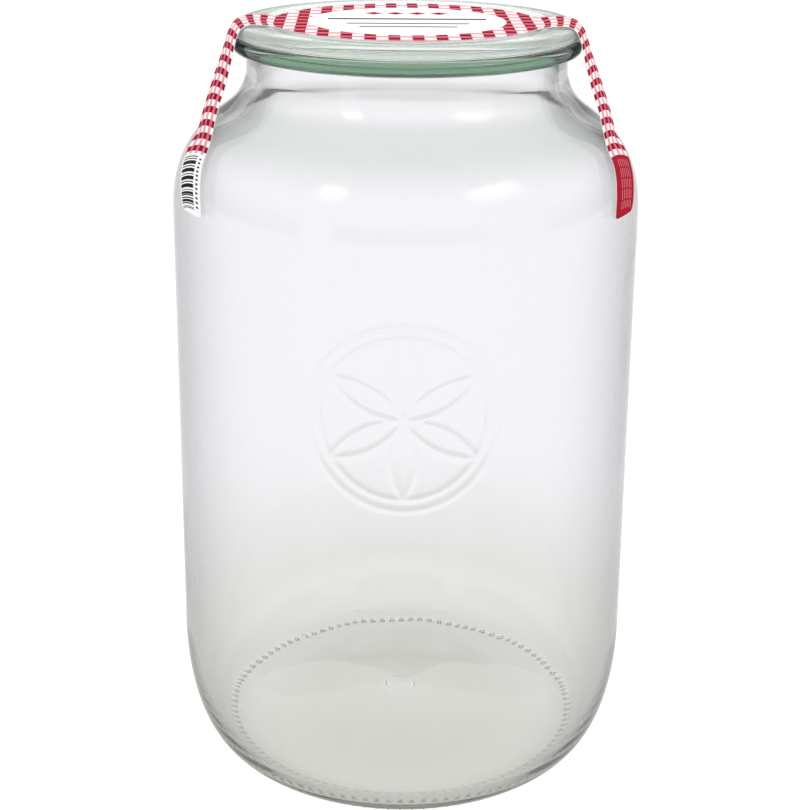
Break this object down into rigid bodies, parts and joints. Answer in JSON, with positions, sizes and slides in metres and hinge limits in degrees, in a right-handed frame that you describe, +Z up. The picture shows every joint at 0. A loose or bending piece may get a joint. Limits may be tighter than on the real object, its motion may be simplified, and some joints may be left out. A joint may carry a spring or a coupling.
{
  "type": "preserving jar",
  "caption": "Clear glass preserving jar with a straight body, rounded shoulder, wide mouth, loose glass lid and a checked paper label stuck over lid and shoulder.",
  "frame": {"origin": "centre of the bearing ring, on the surface that the jar stands on", "axes": "+Z up along the jar's axis, -Y towards the front that the picture shows, +X to the picture's right"},
  "size_m": [0.1514, 0.1514, 0.2472],
  "materials": {
    "jar_glass": "clear moulded glass with a faint green tint",
    "lid_glass": "clear pressed glass, green at its edge",
    "label_paper": "white paper printed with a red gingham check"
  },
  "bodies": {
    "root": {"jar": "jar_glass", "lid": "lid_glass", "label": "label_paper"}
  },
  "joints": []
}
